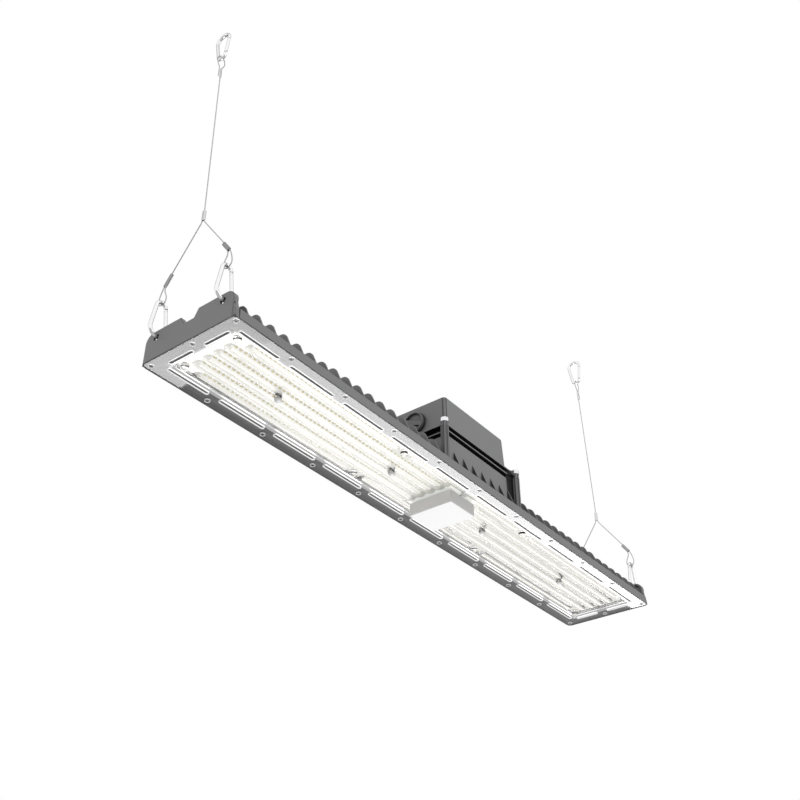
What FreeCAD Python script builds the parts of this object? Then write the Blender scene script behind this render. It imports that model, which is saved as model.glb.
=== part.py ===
import FreeCAD, Part
import math
import os

# Linear LED high bay light, hung by two wire yokes with snap hooks.
# +X runs along the lamp, +Z is up as the lamp hangs. The origin lies under the middle of
# the lamp, level with the underside of the sensor, its lowest point. Millimetres.
# Heights below are measured from the rim, the lowest edge of the housing, and the whole
# lamp is lifted by SENSOR_DROP when a piece is written out.

V = FreeCAD.Vector
X_AXIS = V(1, 0, 0)
Y_AXIS = V(0, 1, 0)
Z_AXIS = V(0, 0, 1)

# ---- driving dimensions -------------------------------------------------------------
SENSOR_DROP = 18.0          # sensor underside below the rim

# housing
HALF_LENGTH = 602.5         # to the outer faces of the end plates
HALF_WIDTH = 94.5
END_PLATE_DEPTH = 8.8
BODY_HALF = HALF_LENGTH - END_PLATE_DEPTH - 0.6
RIM_WALL = 2.5
LAND_Z = 5.5                # seat of the cover flange
RAIL_TOP_Z = 15.0
BASE_TOP_Z = 17.0
CAVITY_TOP_Z = 14.0
CAVITY_HALF = (571.0, 65.0)
GROOVE_WIDTH = 7.0
GROOVE_DEPTH = 2.5
GROOVE_CENTRE = (578.0, 71.2)

# cooling fins
FIN_PITCH = 27.73
FIN_MIDDLE_X = 6.1          # the fin that the others are counted from
FIRST_FIN = -21
LAST_FIN = 20
HIGH_FIN_COUNT = 14         # tall fins on each side of the middle one
FIN_THICK = 2.6
FIN_FOOT_Y = 93.0
FIN_SHOULDER = (85.5, 33.0)
FIN_RADIUS = 14.0
HIGH_FIN_Z = 46.8
LOW_FIN_Z = 42.0
END_FIN_Z = 38.7
GUSSET_Y = (78.0, 82.0, 93.5)   # inner side, apex and foot
GUSSET_Z = 45.0

# end plates
PLATE_WEB = 4.0
PLATE_EDGE = 3.2
PLATE_HALF = 89.0
PLATE_SHOULDER_Z = 33.5
PLATE_RADIUS = 16.0
PLATE_TOP_Z = PLATE_SHOULDER_Z + PLATE_RADIUS
PLATE_FILLET = 1.2
CHEEK_DEPTH = 3.7           # where the cheeks reach their full width
CHEEK_LEVELS = ((0.0, 93.9), (14.0, 92.5), (27.5, 89.15))   # height and half width
NOTCH_TOP = 18.0
NOTCH_FOOT = 10.0
NOTCH_Z = 35.5
HOLE_Y = 67.0
HOLE_Z = 37.0
HOLE_R = 5.4
TAB_Y = 40.0

# clear cover
COVER_HALF = (599.5, 91.4)
COVER_BOTTOM_Z = 0.5
RECESS_OUTER = (573.0, 66.0)
RECESS_INNER = (568.0, 61.0)
PANEL_Z = 6.0
PANEL_TOP_Z = 8.5
LENS_PITCH = 21.1
LENS_HALF_WIDTH = 10.0
LENS_DROP = 2.8
LENS_END = 548.0
OUTER_LENS_END = 528.0
POCKET_DEPTH = 3.0
SENSOR_GAP = 42.0

# screws of the cover
SCREW_PITCH = 118.0
SCREW_MIDDLE_X = -8.5
SCREW_Y = 84.5
SCREW_END_X = 590.0
HEAD_R = 3.8
BORE_R = 4.4
SHANK_R = 1.9
CAP_X = (134.5, 409.0)      # four dome caps along the middle
BOARD_SCREW_X = (178.0, 556.0)
BOARD_SCREW_Y = 52.75

# sensor
SENSOR_HALF = (36.0, 44.0)
SENSOR_WALL = 2.2

# driver compartment, tray and lid
POST_X = 110.5
POST_Y = 87.0
POST_R = 7.0
POST_TOP_Z = 77.0
WALL_X = (-98.0, 90.0)
WALL_HALF_Y = 82.0
WALL_THICK = 3.0
WALL_TOP_Z = 70.0
SKIRT_X = (-93.0, 85.0)
SKIRT_HALF_Y = 77.0
SKIRT_BOTTOM_Z = 65.0
LIP_X = (-99.0, 91.0)
LIP_HALF_Y = 84.0
LIP_Z = (77.4, 79.8)
DECK_X = (-104.5, 100.0)
DECK_Z = (87.6, 90.0)
NECK_R = 6.2
ARM_BOTTOM_Z = 80.0
ARM_HALF_WIDTH = 4.5
RING_R = 6.9                # round heads of the four post screws
RING_Z = (86.0, 94.0)
LID_X = (-104.5, 82.5)
LID_HALF_Y = 85.0
LID_BOTTOM_Z = DECK_Z[1]
LID_TOP_Z = 145.6
LID_DRAFT = 2.2
LID_RADIUS = 6.5
LID_WALL = 2.8
SEAL_GROOVE = (0.9, 2.7, 1.2)   # lid seal's inset from the lid's outline, and depth
ENTRY_Y = -21.5
ENTRY_Z = 110.5
ENTRY_PAD = 1.4             # flat pad that the entry's seal sits on
ENTRY_PAD_R = 20.0
SEAL_THICK = 2.0
SEAL_R = 21.8
CAP_R = 20.5
CAP_DEPTH = 5.4
DISH_R = 18.3
DISH_DEPTH = 4.0
BAR_WIDTH = 8.0
BAR_TILT = 22.5             # degrees, how far the cap has been turned

# suspension
HANG_X = 602.0              # plane of each wire yoke
ROD_R = 3.0
HOOK_LENGTH = 68.0
HOOK_NARROW_R = 8.4         # bend radii of the rod's centre line
HOOK_WIDE_R = 14.2
HOOK_BOTTOM_Z = 35.7
TOP_HOOK_Z = 606.5
WIRE_R = 1.0
WIRE_GAP = 2.4              # between the two strands in a sleeve
SLEEVE_LENGTH = 22.0
YOKE_Z = 226.0
YOKE_LENGTH = 19.0
LEG_SLEEVE_END = (67.5, 131.5)
TOP_SLEEVE_Z = 558.0
LEAN = 1.8                  # degrees that each main wire leans towards +Y


# ---- helpers ------------------------------------------------------------------------
def box(x0, x1, y0, y1, z0, z1):
    return Part.makeBox(x1 - x0, y1 - y0, z1 - z0, V(x0, y0, z0))


def cylinder(x, y, z0, z1, radius):
    return Part.makeCylinder(radius, z1 - z0, V(x, y, z0), Z_AXIS)


def rounded_wire(x0, x1, y0, y1, z, radius):
    """A closed rectangle with round corners, level at height z."""
    k = radius * math.sqrt(0.5)
    corners = [
        (x1 - radius, y1 - radius, 1, 1),
        (x0 + radius, y1 - radius, -1, 1),
        (x0 + radius, y0 + radius, -1, -1),
        (x1 - radius, y0 + radius, 1, -1),
    ]
    edges = []
    ends = []
    for i, (cx, cy, sx, sy) in enumerate(corners):
        side = V(cx + sx * radius, cy, z)
        top = V(cx, cy + sy * radius, z)
        middle = V(cx + sx * k, cy + sy * k, z)
        first, last = (side, top) if i % 2 == 0 else (top, side)
        edges.append(Part.Arc(first, middle, last).toShape())
        ends.append((first, last))
    for i in range(4):
        edges.append(Part.LineSegment(ends[i][1], ends[(i + 1) % 4][0]).toShape())
    return Part.Wire(Part.__sortEdges__(edges))


def rounded_block(x0, x1, y0, y1, z0, z1, radius):
    face = Part.Face(rounded_wire(x0, x1, y0, y1, z0, radius))
    return face.extrude(V(0, 0, z1 - z0))


def rounded_taper(bottom, top, z0, z1, radius):
    """A block whose plan changes from the bottom rectangle to the top one."""
    wires = [rounded_wire(*bottom, z0, radius), rounded_wire(*top, z1, radius)]
    return Part.makeLoft(wires, True, True)


def slot(x0, x1, y0, y1, z0, z1):
    """A straight groove with round ends along its longer side."""
    radius = 0.499 * min(x1 - x0, y1 - y0)
    return rounded_block(x0, x1, y0, y1, z0, z1, radius)


def mirror_x(shape):
    return shape.mirror(V(0, 0, 0), X_AXIS)


def mirror_y(shape):
    return shape.mirror(V(0, 0, 0), Y_AXIS)


def fuse(shapes):
    whole = shapes[0].multiFuse(shapes[1:]) if len(shapes) > 1 else shapes[0]
    return whole.removeSplitter()


def cut(shape, tools):
    return shape.cut(Part.makeCompound(tools))


def polygon_face(points):
    return Part.Face(Part.makePolygon(points + [points[0]]))


def export(name, pieces):
    """Lift the piece into the lamp's frame and write it to its own file."""
    if not isinstance(pieces, (list, tuple)):
        pieces = [pieces]
    solids = []
    for piece in pieces:
        solids.extend(piece.Solids)
    shape = solids[0] if len(solids) == 1 else Part.makeCompound(solids)
    shape = shape.translated(V(0, 0, SENSOR_DROP))
    if not shape.isValid():
        print("not valid:", name)
    shape.exportStep("parts/" + name + ".step")
    print(name, len(solids), round(shape.Volume / 1000.0, 2))


# ---- housing ------------------------------------------------------------------------
def cover_screw_places():
    """Two rows along the sides, three more at each end."""
    places = []
    for k in range(-4, 5):
        x = SCREW_MIDDLE_X + k * SCREW_PITCH
        places.append((x, SCREW_Y))
        places.append((x, -SCREW_Y))
    for x in (-SCREW_END_X, SCREW_END_X):
        for y in (-SCREW_Y, 0.0, SCREW_Y):
            places.append((x, y))
    return places


def cap_places():
    return [(SCREW_MIDDLE_X + side * x, 0.0) for x in CAP_X for side in (-1, 1)]


def board_screw_places():
    return [(sx * x, sy * BOARD_SCREW_Y) for x in BOARD_SCREW_X for sx in (-1, 1) for sy in (-1, 1)]


def tab_screw_places():
    x = HALF_LENGTH - END_PLATE_DEPTH - 7.0
    return [(sx * x, sy * TAB_Y) for sx in (-1, 1) for sy in (-1, 1)]


def fin(x, top_z):
    """One cross fin: straight flanks rising from the rail, round shoulders, flat top."""
    shoulder_y, shoulder_z = FIN_SHOULDER
    foot_z = RAIL_TOP_Z
    flank = V(0, shoulder_y - FIN_FOOT_Y, shoulder_z - foot_z)
    flank.normalize()
    # the shoulder arc is tangent to the flank and to the level top
    turn = math.acos(flank.z)
    centre_z = top_z - FIN_RADIUS
    start_z = centre_z + FIN_RADIUS * math.sin(turn)
    start_y = shoulder_y + (start_z - shoulder_z) * flank.y / flank.z
    centre_y = start_y - FIN_RADIUS * math.cos(turn)
    half = 0.5 * (turn + math.pi / 2)
    middle_y = centre_y + FIN_RADIUS * math.cos(half)
    middle_z = centre_z + FIN_RADIUS * math.sin(half)

    def at(y, z):
        return V(x - FIN_THICK / 2, y, z)

    edges = [
        Part.LineSegment(at(FIN_FOOT_Y, foot_z), at(start_y, start_z)),
        Part.Arc(at(start_y, start_z), at(middle_y, middle_z), at(centre_y, top_z)),
        Part.LineSegment(at(centre_y, top_z), at(-centre_y, top_z)),
        Part.Arc(at(-centre_y, top_z), at(-middle_y, middle_z), at(-start_y, start_z)),
        Part.LineSegment(at(-start_y, start_z), at(-FIN_FOOT_Y, foot_z)),
        Part.LineSegment(at(-FIN_FOOT_Y, foot_z), at(FIN_FOOT_Y, foot_z)),
    ]
    wire = Part.Wire([edge.toShape() for edge in edges])
    return Part.Face(wire).extrude(V(FIN_THICK, 0, 0))


def gusset(x):
    """Triangular rib between the rail and the compartment's wall, on the +Y side."""
    inner, apex, foot = GUSSET_Y
    x0 = x - FIN_THICK / 2
    low = RAIL_TOP_Z - 0.5
    outline = [V(x0, inner, low), V(x0, foot - 0.5, low), V(x0, foot - 0.5, RAIL_TOP_Z + 0.5),
               V(x0, apex, GUSSET_Z), V(x0, inner, GUSSET_Z)]
    return polygon_face(outline).extrude(V(FIN_THICK, 0, 0))


def corner_web(x_wall, sx, sy):
    """Thin upright web that ties a corner of the compartment's wall to its post."""
    x_post = sx * (POST_X - 4)
    y_wall = sy * (WALL_HALF_Y - 1.5)
    y_post = sy * (POST_Y - 3)
    inward = V(sx * 0.9, -sy * 3.0, 0)
    a = V(x_wall, y_wall, RAIL_TOP_Z - 0.5)
    b = V(x_post, y_post, RAIL_TOP_Z - 0.5)
    face = polygon_face([a, b, b + inward, a - Y_AXIS * (3.0 * sy)])
    return face.extrude(V(0, 0, WALL_TOP_Z - RAIL_TOP_Z + 0.5))


def heat_sink():
    """Cast aluminium body: tray for the boards, cross fins, driver compartment."""
    outline = [
        V(-BODY_HALF, -HALF_WIDTH, 0),
        V(-BODY_HALF, HALF_WIDTH, 0),
        V(-BODY_HALF, HALF_WIDTH, RAIL_TOP_Z),
        V(-BODY_HALF, HALF_WIDTH - 6, BASE_TOP_Z),
        V(-BODY_HALF, 6 - HALF_WIDTH, BASE_TOP_Z),
        V(-BODY_HALF, -HALF_WIDTH, RAIL_TOP_Z),
    ]
    body = polygon_face(outline).extrude(V(2 * BODY_HALF, 0, 0))
    inner_y = HALF_WIDTH - RIM_WALL
    body = body.cut(box(-BODY_HALF - 1, BODY_HALF + 1, -inner_y, inner_y, -1, LAND_Z))
    cx, cy = CAVITY_HALF
    body = body.cut(rounded_block(-cx, cx, -cy, cy, LAND_Z - 1, CAVITY_TOP_Z, 10))
    body = body.cut(gasket_ring(LAND_Z - 1, LAND_Z + GROOVE_DEPTH))

    adds = []
    wall_x0, wall_x1 = WALL_X
    wall_y = WALL_HALF_Y
    for k in range(FIRST_FIN, LAST_FIN + 1):
        x = FIN_MIDDLE_X + k * FIN_PITCH
        if wall_x0 < x < wall_x1:
            adds += [gusset(x), mirror_y(gusset(x))]
        elif k == FIRST_FIN:
            adds.append(fin(x, END_FIN_Z))
        else:
            adds.append(fin(x, HIGH_FIN_Z if abs(k) <= HIGH_FIN_COUNT else LOW_FIN_Z))
    wall = rounded_block(wall_x0, wall_x1, -wall_y, wall_y, RAIL_TOP_Z, WALL_TOP_Z, 5)
    t = WALL_THICK
    wall = wall.cut(rounded_block(wall_x0 + t, wall_x1 - t, t - wall_y, wall_y - t,
                                  RAIL_TOP_Z - 1, WALL_TOP_Z + 1, 3))
    adds.append(wall)
    for sy in (-1, 1):
        adds += [post(sx, sy) for sx in (-1, 1)]
        adds += [corner_web(wall_x0 + 4, -1, sy), corner_web(wall_x1 - 4, 1, sy)]
    # short pillars in the cavity carry the middle caps of the cover
    adds += [cylinder(x, y, PANEL_TOP_Z + 0.1, CAVITY_TOP_Z + 1, 5) for x, y in cap_places()]
    body = fuse([body] + adds)

    holes = [cylinder(x, y, LAND_Z - 1, LAND_Z + 9, SHANK_R - 0.2) for x, y in cover_screw_places()]
    holes += [cylinder(x, y, PANEL_TOP_Z - 1, CAVITY_TOP_Z + 2, SHANK_R - 0.2) for x, y in cap_places()]
    holes += [cylinder(x, y, CAVITY_TOP_Z - 1, CAVITY_TOP_Z + 2.7, 1.3) for x, y in board_screw_places()]
    holes += [cylinder(x, y, BASE_TOP_Z - 7, BASE_TOP_Z + 1, 2.0) for x, y in tab_screw_places()]
    # wire passage from the compartment down to the boards
    holes.append(cylinder(60, 40, CAVITY_TOP_Z - 1, BASE_TOP_Z + 1, 5))
    return cut(body, holes)


def gasket_ring(z0, z1):
    gx, gy = GROOVE_CENTRE
    half = GROOVE_WIDTH / 2
    outer = rounded_block(-gx - half, gx + half, -gy - half, gy + half, z0, z1, 10)
    inner = rounded_block(half - gx, gx - half, half - gy, gy - half, z0 - 1, z1 + 1, 4)
    return outer.cut(inner)


def post(sx, sy):
    """Round corner post of the compartment, with flutes down its length."""
    x = sx * POST_X
    y = sy * POST_Y
    column = cylinder(x, y, RAIL_TOP_Z - 1, POST_TOP_Z, POST_R)
    flutes = []
    for angle in (0, 60, 120, 180, 240, 300):
        a = math.radians(angle)
        flutes.append(cylinder(x + (POST_R + 0.3) * math.cos(a), y + (POST_R + 0.3) * math.sin(a),
                               BASE_TOP_Z + 2, POST_TOP_Z + 1, 1.7))
    thread = cylinder(x, y, POST_TOP_Z - 20, POST_TOP_Z + 1, SHANK_R)
    return cut(column, flutes + [thread])


# ---- end plates ---------------------------------------------------------------------
def plate_face(x, inset):
    """Outline of an end plate in the plane at x, drawn in by inset from its edge."""
    shoulder = PLATE_HALF - inset
    radius = PLATE_RADIUS - inset
    top = PLATE_TOP_Z - inset
    k = radius * math.sqrt(0.5)
    centre_y = shoulder - radius
    centre_z = PLATE_SHOULDER_Z

    def at(y, z):
        return V(x, y, z)

    edges = [
        Part.LineSegment(at(-shoulder, inset), at(shoulder, inset)),
        Part.LineSegment(at(shoulder, inset), at(shoulder, centre_z)),
        Part.Arc(at(shoulder, centre_z), at(centre_y + k, centre_z + k), at(centre_y, top)),
        Part.LineSegment(at(centre_y, top), at(NOTCH_TOP + inset, top)),
        Part.LineSegment(at(NOTCH_TOP + inset, top), at(NOTCH_FOOT + inset, NOTCH_Z - inset)),
        Part.LineSegment(at(NOTCH_FOOT + inset, NOTCH_Z - inset), at(-NOTCH_FOOT - inset, NOTCH_Z - inset)),
        Part.LineSegment(at(-NOTCH_FOOT - inset, NOTCH_Z - inset), at(-NOTCH_TOP - inset, top)),
        Part.LineSegment(at(-NOTCH_TOP - inset, top), at(-centre_y, top)),
        Part.Arc(at(-centre_y, top), at(-centre_y - k, centre_z + k), at(-shoulder, centre_z)),
        Part.LineSegment(at(-shoulder, centre_z), at(-shoulder, inset)),
    ]
    return Part.Face(Part.Wire([edge.toShape() for edge in edges]))


def cheek():
    """Wedge on the plate's +Y side: it widens to the rail's section towards the foot."""
    x0 = PLATE_FILLET - HALF_LENGTH
    x1 = CHEEK_DEPTH - HALF_LENGTH
    x2 = END_PLATE_DEPTH - HALF_LENGTH
    inner = PLATE_HALF - 1.0
    rings = []
    for z, half in CHEEK_LEVELS:
        points = [V(x0, inner, z), V(x0, PLATE_HALF, z), V(x1, half, z), V(x2, half, z), V(x2, inner, z)]
        rings.append(Part.makePolygon(points + [points[0]]))
    return Part.makeLoft(rings, True, True)


def end_plate():
    """Cast end plate at -X: flat web, turned-in edge all round, two eyes for snap hooks."""
    x0 = -HALF_LENGTH
    plate = plate_face(x0, 0).extrude(V(END_PLATE_DEPTH, 0, 0))
    # round the outer edge, apart from the foot
    outer = []
    for edge in plate.Edges:
        flat = all(abs(v.X - x0) < 1e-6 for v in edge.Vertexes)
        low = all(v.Z < 1e-6 for v in edge.Vertexes)
        if flat and not low:
            outer.append(edge)
    plate = plate.makeFillet(PLATE_FILLET, outer)
    plate = fuse([plate, cheek(), mirror_y(cheek())])
    # hollow behind the web, above the land
    hollow = plate_face(x0 + PLATE_WEB, PLATE_EDGE).extrude(V(END_PLATE_DEPTH, 0, 0))
    hollow = hollow.common(box(x0, 0, -200, 200, LAND_Z + 8, 200))
    plate = plate.cut(hollow)
    # room for the cover flange behind a thin front lip
    room_x = HALF_LENGTH - RIM_WALL
    room_y = HALF_WIDTH - RIM_WALL
    plate = plate.cut(rounded_block(-room_x, room_x, -room_y, room_y, -1, LAND_Z, 6))
    eyes = []
    for y in (-HOLE_Y, HOLE_Y):
        boss = Part.makeCylinder(HOLE_R + 4, PLATE_WEB, V(x0, y, HOLE_Z), X_AXIS)
        plate = plate.fuse(boss.common(plate_face(x0, 2.5).extrude(V(PLATE_WEB, 0, 0))))
        eyes.append(Part.makeCylinder(HOLE_R, END_PLATE_DEPTH + 2, V(x0 - 1, y, HOLE_Z), X_AXIS))
    tabs = []
    for y in (-TAB_Y, TAB_Y):
        tab = box(x0 + PLATE_WEB - 1, x0 + END_PLATE_DEPTH + 13, y - 8, y + 8, BASE_TOP_Z, BASE_TOP_Z + 3)
        rib = polygon_face([V(x0 + PLATE_WEB - 1, y - 1.5, BASE_TOP_Z + 2),
                            V(x0 + END_PLATE_DEPTH + 1, y - 1.5, BASE_TOP_Z + 2),
                            V(x0 + PLATE_WEB - 1, y - 1.5, BASE_TOP_Z + 14)]).extrude(V(0, 3, 0))
        tabs += [tab, rib]
    plate = fuse([plate] + tabs)
    holes = [cylinder(x, y, BASE_TOP_Z - 1, BASE_TOP_Z + 4, 2.6) for x, y in tab_screw_places() if x < 0]
    return cut(plate, eyes + holes)


# ---- cover, boards and sensor -------------------------------------------------------
def lens_strip(x0, x1, y):
    """A long plano-convex lens with round ends, hanging from the panel."""
    half = LENS_HALF_WIDTH
    radius = (half * half + LENS_DROP * LENS_DROP) / (2 * LENS_DROP)
    centre_z = PANEL_Z - LENS_DROP + radius
    rod = Part.makeCylinder(radius, x1 - x0, V(x0, y, centre_z), X_AXIS)
    ends = [Part.makeSphere(radius, V(x, y, centre_z)) for x in (x0, x1)]
    keep = slot(x0 - half, x1 + half, y - half - 0.02, y + half + 0.02, PANEL_Z - LENS_DROP - 1, PANEL_Z + 1)
    pieces = [shape.common(keep) for shape in [rod] + ends]
    return fuse(pieces)


def lens_strips():
    strips = []
    for row in (0.5, 1.5):
        for sy in (-1, 1):
            y = sy * row * LENS_PITCH
            strips.append(lens_strip(SENSOR_GAP + 10, LENS_END, y))
            strips.append(lens_strip(-LENS_END, -SENSOR_GAP - 10, y))
    gap = 24.0
    boss_x = BOARD_SCREW_X[0]
    for sy in (-1, 1):
        y = sy * 2.5 * LENS_PITCH
        strips.append(lens_strip(gap - boss_x, boss_x - gap, y))
        strips.append(lens_strip(boss_x + gap, OUTER_LENS_END, y))
        strips.append(lens_strip(-OUTER_LENS_END, -boss_x - gap, y))
    return strips


def flange_pockets():
    """Long pockets in the flange between the screws."""
    z0 = COVER_BOTTOM_Z - 1
    z1 = COVER_BOTTOM_Z + POCKET_DEPTH
    y0 = RECESS_OUTER[1] + 1.5
    x_end = RECESS_OUTER[0] + 1.5
    pockets = []
    for sy in (-1, 1):
        ya, yb = sorted((sy * y0, sy * (y0 + 7.0)))
        for k in range(-5, 5):
            screw_x = SCREW_MIDDLE_X + k * SCREW_PITCH
            a = max(screw_x, 8 - SCREW_END_X) + 11
            b = min(screw_x + SCREW_PITCH, SCREW_END_X - 8) - 11
            pockets.append(slot(a, b, ya, yb, z0, z1))
    for sx in (-1, 1):
        xa, xb = sorted((sx * x_end, sx * (x_end + 7.0)))
        for sy in (-1, 1):
            ya, yb = sorted((sy * 11.0, sy * (y0 - 7.0)))
            pockets.append(slot(xa, xb, ya, yb, z0, z1))
    return pockets


def lens_cover():
    """Clear moulded cover: screw flange, recessed panel, lens strips."""
    fx, fy = COVER_HALF
    flange = rounded_block(-fx, fx, -fy, fy, COVER_BOTTOM_Z, LAND_Z, 5)
    sx, sy = CAVITY_HALF[0] - 2, CAVITY_HALF[1] - 2
    raised = rounded_block(-sx, sx, -sy, sy, LAND_Z, PANEL_TOP_Z, 8)
    ox, oy = RECESS_OUTER
    ix, iy = RECESS_INNER
    recess = rounded_taper((-ox, ox, -oy, oy), (-ix, ix, -iy, iy), COVER_BOTTOM_Z - 0.01, PANEL_Z, 9)
    cover = flange.fuse(raised).cut(recess)
    bosses = [cylinder(x, y, PANEL_Z - 4, PANEL_Z + 1, 6.5) for x, y in cap_places() + board_screw_places()]
    cover = fuse([cover] + lens_strips() + bosses)
    tools = flange_pockets()
    for x, y in cover_screw_places():
        tools.append(cylinder(x, y, COVER_BOTTOM_Z - 1, COVER_BOTTOM_Z + 2.5, BORE_R))
        tools.append(cylinder(x, y, COVER_BOTTOM_Z, LAND_Z + 1, SHANK_R + 0.2))
    for x, y in cap_places():
        tools.append(cylinder(x, y, PANEL_Z - 5, PANEL_TOP_Z + 1, SHANK_R + 0.2))
    # window above the sensor, and room for its case between the outer strips
    hx, hy = SENSOR_HALF
    tools.append(rounded_block(8 - hx, hx - 8, 8 - hy, hy - 8, PANEL_Z - 1, PANEL_TOP_Z + 1, 3))
    tools.append(rounded_block(-hx - 0.5, hx + 0.5, -hy - 0.5, hy + 0.5, PANEL_Z - 6, PANEL_Z, 3))
    return cut(cover, tools)


def led_boards():
    """Two boards, left and right of the sensor, screwed under the cavity roof."""
    half_x = CAVITY_HALF[0] - 4
    half_y = CAVITY_HALF[1] - 3.5
    boards = []
    for sx in (-1, 1):
        x0, x1 = sorted((sx * 4.0, sx * half_x))
        board = rounded_block(x0, x1, -half_y, half_y, CAVITY_TOP_Z - 1.6, CAVITY_TOP_Z, 3)
        tools = [cylinder(x, y, 0, 20, 5.3) for x, y in cap_places()]
        tools += [cylinder(x, y, 0, 20, 1.7) for x, y in board_screw_places()]
        tools.append(cylinder(60, 40, 0, 20, 5))
        boards.append(cut(board, tools))
    return boards


def sensor_case():
    """White box of the motion sensor, closed below, open to the panel above."""
    hx, hy = SENSOR_HALF
    case = rounded_block(-hx, hx, -hy, hy, -SENSOR_DROP, PANEL_Z, 2.5)
    low = [e for e in case.Edges if all(abs(v.Z + SENSOR_DROP) < 1e-6 for v in e.Vertexes)]
    case = case.makeFillet(1.2, low)
    t = SENSOR_WALL
    case = case.cut(rounded_block(t - hx, hx - t, t - hy, hy - t, t - SENSOR_DROP, PANEL_Z + 1, 1.5))
    pillars = [cylinder(sx * 27, sy * 35, t - SENSOR_DROP - 0.5, -6, 3) for sx in (-1, 1) for sy in (-1, 1)]
    return fuse([case] + pillars)


def sensor_board():
    """Round-cornered board on the case's four pillars, with its radar chip and relay."""
    board = box(-31, 31, -39, 39, -6, -4.4)
    relay = box(-20, -4, 8, 30, -4.5, 3)
    chip = box(6, 18, -20, -8, -4.5, -2.5)
    return fuse([board, relay, chip])


def cover_screw(x, y):
    """Pan-head screw, head down in its bore."""
    z0 = COVER_BOTTOM_Z + 0.1
    head = cylinder(x, y, z0, COVER_BOTTOM_Z + 2.5, HEAD_R)
    rim = [e for e in head.Edges if abs(e.BoundBox.ZMax - z0) < 1e-6]
    head = head.makeFillet(0.9, rim)
    recess = box(x - 2.2, x + 2.2, y - 0.5, y + 0.5, z0 - 1, z0 + 1)
    recess = recess.fuse(box(x - 0.5, x + 0.5, y - 2.2, y + 2.2, z0 - 1, z0 + 1))
    shank = cylinder(x, y, COVER_BOTTOM_Z + 2, LAND_Z + 8, SHANK_R - 0.25)
    return head.fuse(shank).cut(recess)


def dome_cap(x, y):
    """Domed nut-like cap in the middle of the cover, on its own stud."""
    z = PANEL_Z - 4
    dome = Part.makeSphere(7.0, V(x, y, z + 2.4)).common(cylinder(x, y, z - 6, z, 6.0))
    stud = cylinder(x, y, z - 0.5, CAVITY_TOP_Z + 1, SHANK_R - 0.25)
    return fuse([dome, stud])


def board_screw(x, y):
    head = cylinder(x, y, CAVITY_TOP_Z - 3.6, CAVITY_TOP_Z - 1.6, 3.0)
    shank = cylinder(x, y, CAVITY_TOP_Z - 2, CAVITY_TOP_Z + 2.5, 1.25)
    return head.fuse(shank)


def tab_screw(x, y):
    head = cylinder(x, y, BASE_TOP_Z + 3, BASE_TOP_Z + 6.5, 4.2)
    socket = cylinder(x, y, BASE_TOP_Z + 4.5, BASE_TOP_Z + 7, 2.1)
    shank = cylinder(x, y, BASE_TOP_Z - 6, BASE_TOP_Z + 3.5, 1.95)
    return head.fuse(shank).cut(socket)


# ---- driver compartment -------------------------------------------------------------
def tray_arm(sx, sy):
    """Neck on a post's top and the arm that runs from it to the deck's corner."""
    x = sx * POST_X
    y = sy * POST_Y
    neck = cylinder(x, y, POST_TOP_Z, RING_Z[0], NECK_R)
    start = V(x, y, ARM_BOTTOM_Z)
    end = V(SKIRT_X[0] + 2 if sx < 0 else SKIRT_X[1] - 2, sy * (SKIRT_HALF_Y - 3), ARM_BOTTOM_Z)
    along = end - start
    along.normalize()
    side = along.cross(Z_AXIS) * ARM_HALF_WIDTH
    arm = polygon_face([start + side, end + side, end - side, start - side])
    arm = arm.extrude(V(0, 0, DECK_Z[1] - ARM_BOTTOM_Z))
    arm = arm.cut(cylinder(x, y, RING_Z[0], RING_Z[1], RING_R + 0.5))
    return fuse([neck, arm])


def driver_tray():
    """Cast deck on the four posts: it closes the compartment and carries the lid."""
    deck_y = LID_HALF_Y
    deck = rounded_block(*DECK_X, -deck_y, deck_y, *DECK_Z, LID_RADIUS)
    arms = [tray_arm(sx, sy) for sx in (-1, 1) for sy in (-1, 1)]
    x0, x1 = SKIRT_X
    y = SKIRT_HALF_Y
    skirt = rounded_block(x0, x1, -y, y, SKIRT_BOTTOM_Z, DECK_Z[0] + 0.5, 4)
    lip = rounded_block(*LIP_X, -LIP_HALF_Y, LIP_HALF_Y, *LIP_Z, 5)
    tray = fuse([deck, skirt, lip] + arms)
    t = 3.0
    hollow = rounded_block(x0 + t, x1 - t, t - y, y - t, SKIRT_BOTTOM_Z - 1, DECK_Z[0], 2)
    passage = cylinder(55, 0, DECK_Z[0] - 1, DECK_Z[1] + 1, 9)
    bores = [cylinder(sx * POST_X, sy * POST_Y, POST_TOP_Z - 1, RING_Z[0] + 1, SHANK_R + 0.2)
             for sx in (-1, 1) for sy in (-1, 1)]
    return cut(tray, [hollow, passage, lid_gasket()] + bores)


def post_screw(sx, sy):
    """Round-headed cap screw that holds the tray to its post."""
    x = sx * POST_X
    y = sy * POST_Y
    z0, z1 = RING_Z
    head = cylinder(x, y, z0, z1, RING_R)
    top = [e for e in head.Edges if abs(e.BoundBox.ZMin - z1) < 1e-6]
    head = head.makeFillet(1.0, top)
    shank = cylinder(x, y, POST_TOP_Z - 15, z0 + 1, SHANK_R - 0.1)
    socket = cylinder(x, y, z0 + 4, z1 + 1, 3.4)
    return head.fuse(shank).cut(socket)


def lid_plan(z):
    """The lid's outline at height z, drawn in by its draft."""
    inset = LID_DRAFT * (z - LID_BOTTOM_Z) / (LID_TOP_Z - LID_BOTTOM_Z)
    return (LID_X[0] + inset, LID_X[1] - inset, inset - LID_HALF_Y, LID_HALF_Y - inset)


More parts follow.
